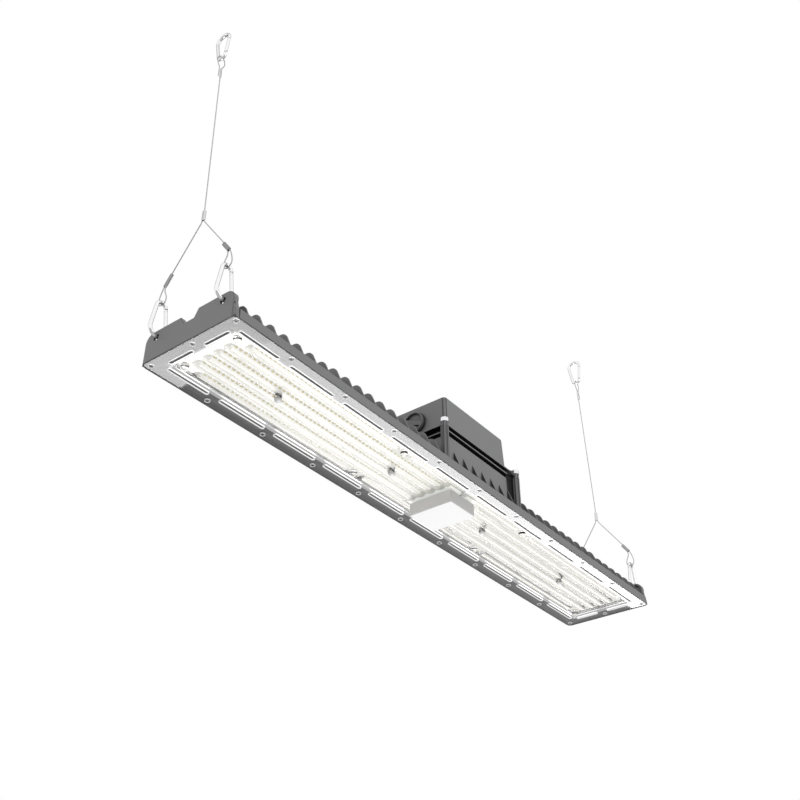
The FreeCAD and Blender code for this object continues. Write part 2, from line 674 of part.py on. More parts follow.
def driver_lid():
    """Deep cast lid over the wiring space, drafted, with round corners."""
    outer = rounded_taper(lid_plan(LID_BOTTOM_Z), lid_plan(LID_TOP_Z), LID_BOTTOM_Z, LID_TOP_Z, LID_RADIUS)
    rim = [e for e in outer.Edges if e.BoundBox.ZMin > LID_TOP_Z - 0.01]
    outer = outer.makeFillet(1.0, rim)
    t = LID_WALL
    z_in = LID_TOP_Z - t
    a = lid_plan(LID_BOTTOM_Z)
    b = lid_plan(z_in)
    inner = rounded_taper((a[0] + t, a[1] - t, a[2] + t, a[3] - t),
                          (b[0] + t, b[1] - t, b[2] + t, b[3] - t),
                          LID_BOTTOM_Z - 0.01, z_in, LID_RADIUS - t)
    lid = outer.cut(inner)
    x = entry_face_x()
    pad = Part.makeCylinder(ENTRY_PAD_R, 6, V(x - ENTRY_PAD, ENTRY_Y, ENTRY_Z), X_AXIS)
    lid = fuse([lid, pad])
    return lid.cut(Part.makeCylinder(9.2, 20, V(x - 5, ENTRY_Y, ENTRY_Z), X_AXIS))


def entry_face_x():
    return lid_plan(ENTRY_Z)[0]


def lid_gasket():
    """Flat seal in the deck's groove, under the lid's wall."""
    x0, x1, y0, y1 = lid_plan(LID_BOTTOM_Z)
    a, b, depth = SEAL_GROOVE
    z0 = DECK_Z[1] - depth
    ring = rounded_block(x0 + a, x1 - a, y0 + a, y1 - a, z0, DECK_Z[1], LID_RADIUS - a)
    return ring.cut(rounded_block(x0 + b, x1 - b, y0 + b, y1 - b, z0 - 1, DECK_Z[1] + 1, LID_RADIUS - b))


def entry_cap():
    """Round screw-in cap on the cable entry: a dished face with a grip bar across it."""
    x = entry_face_x() - ENTRY_PAD - SEAL_THICK
    front = x - CAP_DEPTH
    disc = Part.makeCylinder(CAP_R, CAP_DEPTH, V(front, ENTRY_Y, ENTRY_Z), X_AXIS)
    rim = [e for e in disc.Edges if abs(e.BoundBox.XMax - front) < 1e-6]
    disc = disc.makeFillet(0.8, rim)
    dish = Part.makeCylinder(DISH_R, DISH_DEPTH + 1, V(front - 1, ENTRY_Y, ENTRY_Z), X_AXIS)
    bar = box(front + 0.4, front + DISH_DEPTH + 0.5, ENTRY_Y - CAP_R, ENTRY_Y + CAP_R,
              ENTRY_Z - BAR_WIDTH / 2, ENTRY_Z + BAR_WIDTH / 2)
    bar.rotate(V(front, ENTRY_Y, ENTRY_Z), X_AXIS, BAR_TILT)
    bar = bar.common(Part.makeCylinder(DISH_R + 0.5, CAP_DEPTH, V(front, ENTRY_Y, ENTRY_Z), X_AXIS))
    stem = Part.makeCylinder(9.0, 11, V(x - 0.5, ENTRY_Y, ENTRY_Z), X_AXIS)
    return fuse([disc.cut(dish), bar, stem])


def entry_seal():
    x = entry_face_x() - ENTRY_PAD - SEAL_THICK
    ring = Part.makeCylinder(SEAL_R, SEAL_THICK, V(x, ENTRY_Y, ENTRY_Z), X_AXIS)
    return ring.cut(Part.makeCylinder(9.1, 6, V(x - 2, ENTRY_Y, ENTRY_Z), X_AXIS))


def power_supply():
    """Potted driver on the compartment floor, with its fixing ears."""
    body = rounded_block(-72, 72, -34, 34, BASE_TOP_Z, BASE_TOP_Z + 38, 4)
    ears = [box(sx * 82 if sx < 0 else 70, -70 if sx < 0 else 82, -20, 20, BASE_TOP_Z, BASE_TOP_Z + 3)
            for sx in (-1, 1)]
    slots = [cylinder(sx * 77, sy * 12, BASE_TOP_Z - 1, BASE_TOP_Z + 4, 2.2) for sx in (-1, 1) for sy in (-1, 1)]
    return cut(fuse([body] + ears), slots)


def terminal_block():
    """Five-pole screw terminal for the mains and dimming wires."""
    pole = 12.0
    z = DECK_Z[1]
    block = box(-30, 30, 20, 42, z, z + 18)
    holes = []
    for i in range(5):
        x = -30 + pole * (i + 0.5)
        holes.append(cylinder(x, 31, z + 8, z + 19, 2.6))
        holes.append(Part.makeCylinder(2.4, 30, V(x, 15, z + 6), Y_AXIS))
    return cut(block, holes)


# ---- snap hooks ---------------------------------------------------------------------
def hook_layout():
    """Bend centres and tangent points, narrow end up, the hook's foot at z = 0."""
    narrow = V(0, 0, HOOK_LENGTH - HOOK_NARROW_R - ROD_R)
    wide = V(0, 0, HOOK_WIDE_R + ROD_R)
    slope = math.asin((HOOK_WIDE_R - HOOK_NARROW_R) / (narrow.z - wide.z))
    out = V(math.cos(slope), 0, math.sin(slope))
    down = V(math.sin(slope), 0, -math.cos(slope))
    return narrow, wide, out, down


def hook_pivot():
    narrow, wide, out, down = hook_layout()
    return narrow + out * HOOK_NARROW_R + down * 3.4


def flip(v):
    return V(-v.x, v.y, v.z)


def snap_hook():
    """Bent rod of a snap hook in the XZ plane, its gate side at +X left open."""
    narrow, wide, out, down = hook_layout()
    nose = wide + out * HOOK_WIDE_R
    nose_tip = nose - down * 2.2
    heel = narrow + out * HOOK_NARROW_R
    path = Part.Wire([
        Part.LineSegment(nose_tip, nose).toShape(),
        Part.Arc(nose, wide - Z_AXIS * HOOK_WIDE_R, wide + flip(out) * HOOK_WIDE_R).toShape(),
        Part.LineSegment(wide + flip(out) * HOOK_WIDE_R, narrow + flip(out) * HOOK_NARROW_R).toShape(),
        Part.Arc(narrow + flip(out) * HOOK_NARROW_R, narrow + Z_AXIS * HOOK_NARROW_R, heel).toShape(),
    ])
    start = Part.Wire([Part.Circle(nose_tip, down, ROD_R).toShape()])
    rod = path.makePipeShell([start], True, False)
    # flat tongue that the gate's fork straddles
    pivot = hook_pivot()
    tongue = Part.makeCylinder(2.6, 2.0, pivot - Y_AXIS, Y_AXIS)
    root = polygon_face([heel + out * 2.6 - down * 0.6 - Y_AXIS, pivot + out * 2.6 - Y_AXIS,
                         pivot - out * 2.6 - Y_AXIS, heel - out * 2.6 - down * 0.6 - Y_AXIS])
    hook = fuse([rod, tongue, root.extrude(V(0, 2, 0))])
    return hook.cut(Part.makeCylinder(0.75, 8, pivot - Y_AXIS * 4, Y_AXIS))


def snap_gate():
    """Spring gate: a rod with a fork at the pivot, closing on the nose."""
    narrow, wide, out, down = hook_layout()
    pivot = hook_pivot()
    nose_tip = wide + out * HOOK_WIDE_R - down * 2.2
    reach = (nose_tip - pivot).dot(down) - 0.4
    bar = Part.makeCylinder(2.7, reach + 1.6, pivot - down * 1.6, down)
    fork = Part.makeCylinder(3.4, 12, pivot - Y_AXIS * 6, Y_AXIS)
    slit = fork.common(box(-100, 100, -1.2, 1.2, -100, 100))
    heel_round = Part.makeCylinder(2.65, 12, pivot - Y_AXIS * 6, Y_AXIS)
    # round the fork about the pivot so that it can turn
    keep = heel_round.fuse(Part.makeCylinder(6.0, reach, pivot, down))
    gate = bar.common(keep)
    gate = gate.cut(slit)
    return gate.cut(Part.makeCylinder(0.95, 8, pivot - Y_AXIS * 4, Y_AXIS))


def gate_rivet():
    pivot = hook_pivot()
    return Part.makeCylinder(0.72, 5.2, pivot - Y_AXIS * 2.6, Y_AXIS)


def place_lower(shape, side_x, side_y):
    """A lower hook: foot through the end plate's eye, gate towards the lamp."""
    placed = shape.copy()
    if side_x > 0:
        placed = mirror_x(placed)
    return placed.translated(V(side_x * HANG_X, side_y * HOLE_Y, HOOK_BOTTOM_Z))


def place_top(shape, side_x):
    """A top hook: narrow end down in the wire's loop, in the plane across the lamp."""
    placed = shape.copy()
    placed.rotate(V(0, 0, HOOK_LENGTH / 2), Y_AXIS, 180)
    placed.rotate(V(0, 0, 0), Z_AXIS, 90)
    if side_x > 0:
        placed = mirror_x(placed)
    offset = side_x * (HANG_X + WIRE_GAP / 2)
    return leaned(placed.translated(V(offset, 0, TOP_HOOK_Z)))


def leaned(shape):
    """Tip a piece of the upper suspension about the top of the yoke sleeve."""
    tipped = shape.copy()
    tipped.rotate(V(0, 0, YOKE_Z + YOKE_LENGTH), X_AXIS, -LEAN)
    return tipped


# ---- wires and sleeves --------------------------------------------------------------
def wire_tube(points, name):
    """A round wire along straight runs joined by the largest tangent arcs they allow."""
    edges = []
    last = points[0]
    radii = []
    for i in range(1, len(points) - 1):
        a = points[i] - points[i - 1]
        b = points[i + 1] - points[i]
        run = min(a.Length, b.Length)
        a.normalize()
        b.normalize()
        turn = a.getAngle(b)
        back = 0.45 * run
        radius = back / math.tan(turn / 2)
        radii.append(round(radius, 1))
        start = points[i] - a * back
        end = points[i] + b * back
        inward = b - a
        inward.normalize()
        middle = points[i] + inward * (radius / math.cos(turn / 2) - radius)
        edges.append(Part.LineSegment(last, start).toShape())
        edges.append(Part.Arc(start, middle, end).toShape())
        last = end
    edges.append(Part.LineSegment(last, points[-1]).toShape())
    path = Part.Wire(edges)
    direction = points[1] - points[0]
    profile = Part.Wire([Part.Circle(points[0], direction, WIRE_R).toShape()])
    tube = path.makePipeShell([profile], True, False)
    expected = math.pi * WIRE_R * WIRE_R * path.Length
    print(name, "radii", radii, "length", round(path.Length, 1), "volume ratio",
          round(tube.Volume / expected, 3))
    return tube


def main_wire_route():
    """Up from the yoke sleeve, leaning, through the top sleeve and round the top hook."""
    x = -HANG_X
    c = x - WIRE_GAP / 2
    top = TOP_HOOK_Z + 2 * ROD_R + WIRE_R + 0.4
    sleeve_top = TOP_SLEEVE_Z + SLEEVE_LENGTH
    bend_z = YOKE_Z + YOKE_LENGTH
    upper = [
        (x, sleeve_top + 3),
        (c + 6.2, sleeve_top + 12),
        (c + 8.4, sleeve_top + 20),
        (c + 7.4, top - 6.4),
        (c + 3.3, top),
        (c - 3.3, top),
        (c - 7.4, top - 6.4),
        (c - 8.4, sleeve_top + 20),
        (c - 6.2, sleeve_top + 12),
        (c - WIRE_GAP / 2, sleeve_top + 3),
        (c - WIRE_GAP / 2, sleeve_top - 14),
    ]
    tilt = math.radians(LEAN)
    route = [V(x, 0, YOKE_Z + 9), V(x, 0, bend_z)]
    for px, pz in upper:
        route.append(V(px, (pz - bend_z) * math.sin(tilt), bend_z + (pz - bend_z) * math.cos(tilt)))
    return route


def leg_direction():
    start = V(0, WIRE_GAP / 2, YOKE_Z - 1)
    end = V(0, LEG_SLEEVE_END[0], LEG_SLEEVE_END[1])
    d = end - start
    d.normalize()
    return d


def leg_wire_route():
    """Down and out from the yoke sleeve, through its own sleeve, under the lower hook."""
    x = -HANG_X
    d = leg_direction()
    side = V(0, -abs(d.z), -abs(d.y))
    end = V(x, LEG_SLEEVE_END[0], LEG_SLEEVE_END[1])
    back = end + side * WIRE_GAP
    low = HOOK_BOTTOM_Z + HOOK_LENGTH - 2 * ROD_R - WIRE_R - 0.4
    y = HOLE_Y
    return [
        V(x, WIRE_GAP / 2, YOKE_Z + 8),
        V(x, WIRE_GAP / 2, YOKE_Z - 1),
        end + d * 4.0,
        V(x, y + 8.8, low + 13),
        V(x, y + 8.2, low + 5),
        V(x, y + 3.4, low),
        V(x, y - 3.4, low),
        V(x, y - 7.6, low + 5),
        V(x, y - 8.2, low + 13),
        back + d * 4.0,
        back - d * 12,
    ]


def sleeve(centre, axis, across, length, bores):
    """Pressed oval sleeve round two wires; axis is its length, across its wide way."""
    half = WIRE_GAP / 2
    wall = 1.1
    round_r = WIRE_R + wall
    start = centre - axis * (length / 2)
    a = Part.makeCylinder(round_r, length, start + across * half, axis)
    b = Part.makeCylinder(round_r, length, start - across * half, axis)
    thick = across.cross(axis)
    c0 = start + across * half + thick * round_r
    web = polygon_face([c0, c0 - across * (2 * half), c0 - across * (2 * half) - thick * (2 * round_r),
                        c0 - thick * (2 * round_r)]).extrude(axis * length)
    body = fuse([a, b, web])
    return cut(body, bores)


def bore(start, axis, length):
    return Part.makeCylinder(WIRE_R + 0.06, length, start, axis)


def top_sleeve():
    x = -HANG_X
    centre = V(x - WIRE_GAP / 2, 0, TOP_SLEEVE_Z + SLEEVE_LENGTH / 2)
    bores = [bore(V(x, 0, TOP_SLEEVE_Z - 5), Z_AXIS, 40),
             bore(V(x - WIRE_GAP, 0, TOP_SLEEVE_Z + 4), Z_AXIS, 40)]
    return leaned(sleeve(centre, Z_AXIS, X_AXIS, SLEEVE_LENGTH, bores))


def leg_sleeve():
    x = -HANG_X
    d = leg_direction()
    side = V(0, -abs(d.z), -abs(d.y))
    end = V(x, LEG_SLEEVE_END[0], LEG_SLEEVE_END[1])
    centre = end + side * (WIRE_GAP / 2) - d * (SLEEVE_LENGTH / 2)
    bores = [bore(end - d * 30, d, 40),
             bore(end + side * WIRE_GAP - d * 13, d, 40)]
    return sleeve(centre, d, side, SLEEVE_LENGTH, bores)


def yoke_sleeve():
    """Sleeve where the main wire meets the two legs."""
    x = -HANG_X
    half = WIRE_GAP / 2
    centre = V(x, 0, YOKE_Z + YOKE_LENGTH / 2)
    body = sleeve(centre, Z_AXIS, Y_AXIS, YOKE_LENGTH, [bore(V(x, 0, YOKE_Z + 8.8), Z_AXIS, 30)])
    mouths = []
    for side in (-1, 1):
        mouths.append(bore(V(x, side * half, YOKE_Z - 5), Z_AXIS, 13.2))
    # the legs bend away inside a flared mouth
    flare = Part.makeCone(3.0, 1.4, 5.0, V(x, 0, YOKE_Z - 0.01), Z_AXIS)
    flare = flare.common(box(x - 1.06, x + 1.06, -5, 5, YOKE_Z - 1, YOKE_Z + 6))
    return cut(body, mouths + [flare])


# ---- write every piece --------------------------------------------------------------
def main():
    os.makedirs("parts", exist_ok=True)

    export("heat_sink", heat_sink())
    plate = end_plate()
    export("end_plate_left", plate)
    export("end_plate_right", mirror_x(plate))
    export("end_plate_screws", [tab_screw(x, y) for x, y in tab_screw_places()])
    export("cover_gasket", gasket_ring(LAND_Z, LAND_Z + GROOVE_DEPTH))
    export("lens_cover", lens_cover())
    for name, board in zip(("led_board_left", "led_board_right"), led_boards()):
        export(name, board)
    export("board_screws", [board_screw(x, y) for x, y in board_screw_places()])
    export("cover_screws", [cover_screw(x, y) for x, y in cover_screw_places()])
    export("cover_caps", [dome_cap(x, y) for x, y in cap_places()])
    export("sensor_case", sensor_case())
    export("sensor_board", sensor_board())

    export("driver_tray", driver_tray())
    export("post_screws", [post_screw(sx, sy) for sx in (-1, 1) for sy in (-1, 1)])
    export("lid_gasket", lid_gasket())
    export("driver_lid", driver_lid())
    export("entry_cap", entry_cap())
    export("entry_seal", entry_seal())
    export("power_supply", power_supply())
    export("terminal_block", terminal_block())

    hook = snap_hook()
    gate = snap_gate()
    rivet = gate_rivet()
    main_wire = wire_tube(main_wire_route(), "main_wire")
    leg_wire = wire_tube(leg_wire_route(), "leg_wire")
    sleeves = (top_sleeve(), leg_sleeve(), yoke_sleeve())
    rivets = []
    for side_x, side in ((-1, "left"), (1, "right")):
        def end(shape):
            return shape if side_x < 0 else mirror_x(shape)

        for side_y, place in ((-1, "back"), (1, "front")):
            name = side + "_" + place
            export(name + "_hook", place_lower(hook, side_x, side_y))
            export(name + "_gate", place_lower(gate, side_x, side_y))
            rivets.append(place_lower(rivet, side_x, side_y))
            leg = leg_wire if side_y > 0 else mirror_y(leg_wire)
            leg_tube = sleeves[1] if side_y > 0 else mirror_y(sleeves[1])
            export(name + "_leg_wire", end(leg))
            export(name + "_leg_sleeve", end(leg_tube))
        export(side + "_top_hook", place_top(hook, side_x))
        export(side + "_top_gate", place_top(gate, side_x))
        rivets.append(place_top(rivet, side_x))
        export(side + "_main_wire", end(main_wire))
        export(side + "_top_sleeve", end(sleeves[0]))
        export(side + "_yoke_sleeve", end(sleeves[2]))
    export("gate_rivets", rivets)


main()
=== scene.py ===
import math
import bmesh
import bpy
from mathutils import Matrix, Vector


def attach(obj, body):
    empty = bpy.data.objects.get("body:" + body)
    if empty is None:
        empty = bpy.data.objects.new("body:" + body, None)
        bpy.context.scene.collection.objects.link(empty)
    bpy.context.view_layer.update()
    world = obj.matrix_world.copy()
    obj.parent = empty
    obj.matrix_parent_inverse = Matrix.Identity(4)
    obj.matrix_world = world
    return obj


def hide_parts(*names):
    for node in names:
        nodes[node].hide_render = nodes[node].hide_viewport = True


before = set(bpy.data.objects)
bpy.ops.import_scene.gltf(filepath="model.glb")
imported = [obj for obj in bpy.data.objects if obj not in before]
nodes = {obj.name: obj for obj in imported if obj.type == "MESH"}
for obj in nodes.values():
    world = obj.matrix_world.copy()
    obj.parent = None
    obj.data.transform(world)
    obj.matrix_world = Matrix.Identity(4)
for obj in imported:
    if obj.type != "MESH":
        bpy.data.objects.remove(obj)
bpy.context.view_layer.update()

# ---- camera ---------------------------------------------------------------------------
# Below and to one side of the hanging lamp, looking up along it, so that the clear cover
# faces the lens and one end plate and one long side show.
bpy.ops.object.select_all(action="DESELECT")
bpy.ops.object.camera_add(
    location=(-1.33591, -0.93488, -0.867055),
    rotation=(math.radians(124.331), 0.0, math.radians(-52.441)),
)
camera = bpy.context.active_object
camera.data.sensor_width = 36.0
camera.data.lens = 47.555
camera.data.clip_start = 0.05
camera.data.clip_end = 60.0
bpy.context.scene.camera = camera

# ---- wire ropes -----------------------------------------------------------------------
# Two-millimetre galvanised rope of six strands, two yokes of one main wire and two legs.
# Each loop passes round a snap hook and comes back into its pressed sleeve.
ROPE_RADIUS = 0.001
ROPE_LAY = 0.012           # one turn of a strand
STRANDS = 6
# how far along a strand's share of the turn, and how far out of the rope's radius
STRAND_SHAPE = ((0.0, 0.78), (0.25, 0.95), (0.5, 1.0), (0.75, 0.95))
RING_STEP = 0.0012
LINE_STEPS = 24            # points on each of a line's spans


def strand_profile():
    """Angles and radii round a rope of six strands."""
    outline = []
    for strand in range(STRANDS):
        start = 2 * math.pi * strand / STRANDS
        pitch = 2 * math.pi / STRANDS
        for share, height in STRAND_SHAPE:
            outline.append((start + share * pitch, ROPE_RADIUS * height))
    return outline


def smooth_line(name, route):
    """The route's own NURBS line, as closely spaced points."""
    curve = bpy.data.curves.new(name + "_line", "CURVE")
    curve.dimensions = "3D"
    curve.resolution_u = LINE_STEPS
    spline = curve.splines.new("NURBS")
    spline.points.add(len(route) - 1)
    for place, point in zip(route, spline.points):
        point.co = (*place, 1.0)
    spline.order_u = 3
    spline.use_endpoint_u = True
    holder = bpy.data.objects.new(name + "_line", curve)
    bpy.context.scene.collection.objects.link(holder)
    bpy.context.view_layer.update()
    line = bpy.data.meshes.new_from_object(holder)
    points = [vertex.co.copy() for vertex in line.vertices]
    bpy.data.objects.remove(holder)
    bpy.data.meshes.remove(line)
    bpy.data.curves.remove(curve)
    return points


def even_points(points, step):
    """Points at an even spacing along a line."""
    lengths = [0.0]
    for a, b in zip(points, points[1:]):
        lengths.append(lengths[-1] + (b - a).length)
    count = max(2, round(lengths[-1] / step))
    spaced = []
    k = 0
    for i in range(count + 1):
        target = lengths[-1] * i / count
        while k < len(points) - 2 and lengths[k + 1] < target:
            k += 1
        span = lengths[k + 1] - lengths[k]
        share = (target - lengths[k]) / span if span > 0 else 0.0
        spaced.append(points[k].lerp(points[k + 1], min(1.0, max(0.0, share))))
    return spaced, lengths[-1]


def make_rope(name, route):
    """Twists the strand profile along the route's line."""
    points, length = even_points(smooth_line(name, route), RING_STEP)
    outline = strand_profile()
    size = len(outline)
    mesh = bpy.data.meshes.new(name)
    rope = bpy.data.objects.new(name, mesh)
    bpy.context.scene.collection.objects.link(rope)
    bm = bmesh.new()
    along = (points[1] - points[0]).normalized()
    side = along.orthogonal().normalized()
    rings = []
    for i, point in enumerate(points):
        before = points[max(0, i - 1)]
        after = points[min(len(points) - 1, i + 1)]
        turned = (after - before).normalized()
        side = along.rotation_difference(turned) @ side
        along = turned
        across = along.cross(side)
        twist = 2 * math.pi * (length * i / (len(points) - 1)) / ROPE_LAY
        ring = []
        for angle, radius in outline:
            reach = side * math.cos(angle + twist) + across * math.sin(angle + twist)
            ring.append(bm.verts.new(point + radius * reach))
        rings.append(ring)
    for a, b in zip(rings, rings[1:]):
        for j in range(size):
            bm.faces.new((a[j], a[(j + 1) % size], b[(j + 1) % size], b[j]))
    bm.faces.new(list(reversed(rings[0])))
    bm.faces.new(rings[-1])
    bm.normal_update()
    bm.to_mesh(mesh)
    bm.free()
    for polygon in mesh.polygons:
        polygon.use_smooth = True
    return rope, points, length


# the left yoke's routes, in metres; the right yoke mirrors them
MAIN_ROUTE = [
    (-0.602, 0.0, 0.253), (-0.602, 0.0, 0.263), (-0.602, 0.000377, 0.274994),
    (-0.602, 0.010177, 0.58684), (-0.602, 0.010617, 0.600833), (-0.597, 0.0109, 0.609829),
    (-0.5948, 0.011151, 0.617825), (-0.5958, 0.011387, 0.625321), (-0.5999, 0.011588, 0.631718),
    (-0.6065, 0.011588, 0.631718), (-0.6106, 0.011387, 0.625321), (-0.6116, 0.011151, 0.617825),
    (-0.6094, 0.0109, 0.609829), (-0.6044, 0.010617, 0.600833), (-0.6044, 0.010083, 0.583842),
]
LEG_ROUTE = [
    (-0.602, 0.0012, 0.252), (-0.602, 0.0012, 0.243), (-0.602, 0.008141, 0.233211),
    (-0.602, 0.062873, 0.156026), (-0.602, 0.069814, 0.146237), (-0.602, 0.0758, 0.1273),
    (-0.602, 0.0752, 0.1193), (-0.602, 0.0704, 0.1143), (-0.602, 0.0636, 0.1143),
    (-0.602, 0.0594, 0.1193), (-0.602, 0.0588, 0.1273), (-0.602, 0.067856, 0.144849),
    (-0.602, 0.058601, 0.157901),
]
ropes = []
for side_x, side in ((-1, "left"), (1, "right")):
    route = [(-side_x * x, y, z) for x, y, z in MAIN_ROUTE]
    rope, line, length = make_rope(side + "_main_rope", route)
    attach(rope, "lamp")
    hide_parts(side + "_main_wire")
    ropes.append(rope)
    for side_y, place in ((-1, "back"), (1, "front")):
        leg = side + "_" + place
        route = [(-side_x * x, side_y * y, z) for x, y, z in LEG_ROUTE]
        rope, line, length = make_rope(leg + "_leg_rope", route)
        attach(rope, "lamp")
        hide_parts(leg + "_leg_wire")
        ropes.append(rope)


def make_tone_group():
    """Node group: fine grain and broad mottle of a surface, as colour, roughness and height."""
    group = bpy.data.node_groups.new("surface_tone", "ShaderNodeTree")
    face = group.interface
    for name, kind, value in (
        ("Light", "NodeSocketColor", (0.3, 0.3, 0.3, 1.0)),
        ("Dark", "NodeSocketColor", (0.2, 0.2, 0.2, 1.0)),
        ("Mottle Scale", "NodeSocketFloat", 14.0),
        ("Grain Scale", "NodeSocketFloat", 900.0),
        ("Smooth", "NodeSocketFloat", 0.35),
        ("Rough", "NodeSocketFloat", 0.5),
    ):
        socket = face.new_socket(name=name, in_out="INPUT", socket_type=kind)
        socket.default_value = value
    face.new_socket(name="Color", in_out="OUTPUT", socket_type="NodeSocketColor")
    face.new_socket(name="Roughness", in_out="OUTPUT", socket_type="NodeSocketFloat")
    face.new_socket(name="Height", in_out="OUTPUT", socket_type="NodeSocketFloat")
    entry = group.nodes.new("NodeGroupInput")
    result = group.nodes.new("NodeGroupOutput")
    place = group.nodes.new("ShaderNodeTexCoord")
    mottle = group.nodes.new("ShaderNodeTexNoise")
    mottle.inputs["Detail"].default_value = 4.0
    grain = group.nodes.new("ShaderNodeTexNoise")
    grain.inputs["Detail"].default_value = 2.0
    tint = group.nodes.new("ShaderNodeMix")
    tint.data_type = "RGBA"
    polish = group.nodes.new("ShaderNodeMapRange")
    link = group.links.new
    link(place.outputs["Object"], mottle.inputs["Vector"])
    link(place.outputs["Object"], grain.inputs["Vector"])
    link(entry.outputs["Mottle Scale"], mottle.inputs["Scale"])
    link(entry.outputs["Grain Scale"], grain.inputs["Scale"])
    link(mottle.outputs["Fac"], tint.inputs["Factor"])
    link(entry.outputs["Dark"], tint.inputs["A"])
    link(entry.outputs["Light"], tint.inputs["B"])
    # most of the noise lies between these two, so they span the whole range of polish
    polish.inputs["From Min"].default_value = 0.25
    polish.inputs["From Max"].default_value = 0.75
    link(mottle.outputs["Fac"], polish.inputs["Value"])
    link(entry.outputs["Smooth"], polish.inputs["To Min"])
    link(entry.outputs["Rough"], polish.inputs["To Max"])
    link(tint.outputs["Result"], result.inputs["Color"])
    link(polish.outputs["Result"], result.inputs["Roughness"])
    link(grain.outputs["Fac"], result.inputs["Height"])
    return group


surface_tone = make_tone_group()


def finish_of(name, light, dark, smooth, rough, grain=900.0, mottle=14.0, bump=0.00003, metal=0.0,
              specular=0.5):
    """A finish built on the surface tone group. bump is the grain's height in metres."""
    material = bpy.data.materials.new(name)
    material.use_nodes = True
    tree = material.node_tree
    shader = tree.nodes["Principled BSDF"]
    tone = tree.nodes.new("ShaderNodeGroup")
    tone.node_tree = surface_tone
    tone.inputs["Light"].default_value = (*light, 1.0)
    tone.inputs["Dark"].default_value = (*dark, 1.0)
    tone.inputs["Mottle Scale"].default_value = mottle
    tone.inputs["Grain Scale"].default_value = grain
    tone.inputs["Smooth"].default_value = smooth
    tone.inputs["Rough"].default_value = rough
    tree.links.new(tone.outputs["Color"], shader.inputs["Base Color"])
    tree.links.new(tone.outputs["Roughness"], shader.inputs["Roughness"])
    relief = tree.nodes.new("ShaderNodeBump")
    relief.inputs["Strength"].default_value = 1.0
    relief.inputs["Distance"].default_value = bump
    tree.links.new(tone.outputs["Height"], relief.inputs["Height"])
    tree.links.new(relief.outputs["Normal"], shader.inputs["Normal"])
    shader.inputs["Metallic"].default_value = metal
    shader.inputs["Specular IOR Level"].default_value = specular
    return material


def dress(piece, material):
    """Gives the whole piece one finish."""
    piece.data.materials.clear()
    piece.data.materials.append(material)
    for polygon in piece.data.polygons:
        polygon.material_index = 0


rope_steel = finish_of("galvanised_rope", (0.62, 0.62, 0.63), (0.46, 0.46, 0.47),
                       smooth=0.3, rough=0.45, grain=2600.0, mottle=60.0, bump=0.00002, metal=0.9)
for rope in ropes:
    dress(rope, rope_steel)

# ---- sleeves --------------------------------------------------------------------------
# Oval aluminium sleeves pressed round the rope where it comes back from its loop. Those of
# the legs are dull grey, and the tinned ones of the yoke and the top hook are bright.


def make_shading_group():
    """Node group: a colour drawn down to a share of itself as a mask goes from start to end."""
    group = bpy.data.node_groups.new("shaded_colour", "ShaderNodeTree")
    face = group.interface
    face.new_socket(name="Color", in_out="INPUT", socket_type="NodeSocketColor")
    for name in ("Mask", "Start", "End", "Deepest"):
        face.new_socket(name=name, in_out="INPUT", socket_type="NodeSocketFloat")
    face.new_socket(name="Color", in_out="OUTPUT", socket_type="NodeSocketColor")
    entry = group.nodes.new("NodeGroupInput")
    result = group.nodes.new("NodeGroupOutput")
    share = group.nodes.new("ShaderNodeMapRange")
    share.inputs["To Min"].default_value = 1.0
    shade = group.nodes.new("ShaderNodeMix")
    shade.data_type = "RGBA"
    shade.blend_type = "MULTIPLY"
    shade.inputs["Factor"].default_value = 1.0
    link = group.links.new
    link(entry.outputs["Mask"], share.inputs["Value"])
    link(entry.outputs["Start"], share.inputs["From Min"])
    link(entry.outputs["End"], share.inputs["From Max"])
    link(entry.outputs["Deepest"], share.inputs["To Max"])
    link(entry.outputs["Color"], shade.inputs["A"])
    link(share.outputs["Result"], shade.inputs["B"])
    link(shade.outputs["Result"], result.inputs["Color"])
    return group


shaded_colour = make_shading_group()


def darken(material, mask, start, end, deepest):
    """Places the shading group between a finish's colour and its shader."""
    tree = material.node_tree
    colour = tree.nodes["Principled BSDF"].inputs["Base Color"]
    shading = tree.nodes.new("ShaderNodeGroup")
    shading.node_tree = shaded_colour
    shading.inputs["Start"].default_value = start
    shading.inputs["End"].default_value = end
    shading.inputs["Deepest"].default_value = deepest
    tree.links.new(colour.links[0].from_socket, shading.inputs["Color"])
    tree.links.new(mask, shading.inputs["Mask"])
    tree.links.new(shading.outputs["Color"], colour)


def paint_dark_rims(material, start, end, deepest):
    """Painted reflection: darkens metal's colour where it curves away from the eye, for the dark
    rims a polished rod reflects.
    """
    glance = material.node_tree.nodes.new("ShaderNodeLayerWeight")
    glance.inputs["Blend"].default_value = 0.5
    darken(material, glance.outputs["Facing"], start, end, deepest)


sleeve_metal = finish_of("pressed_sleeve", (0.5, 0.5, 0.505), (0.38, 0.38, 0.385),
                         smooth=0.35, rough=0.5, grain=1500.0, mottle=120.0, bump=0.00004, metal=0.7)
# painted reflection: the dull sleeves' colour is darkened at their rims
paint_dark_rims(sleeve_metal, start=0.35, end=0.8, deepest=0.25)
tinned_metal = finish_of("tinned_sleeve", (0.9, 0.9, 0.9), (0.75, 0.75, 0.76),
                         smooth=0.3, rough=0.4, grain=1500.0, mottle=120.0, bump=0.00004, metal=0.7)
# painted reflection: the tinned sleeves' colour is darkened at their rims too
paint_dark_rims(tinned_metal, start=0.35, end=0.8, deepest=0.2)
for side in ("left", "right"):
    for name in ("_back_leg_sleeve", "_front_leg_sleeve"):
        dress(nodes[side + name], sleeve_metal)
    for name in ("_top_sleeve", "_yoke_sleeve"):
        dress(nodes[side + name], tinned_metal)

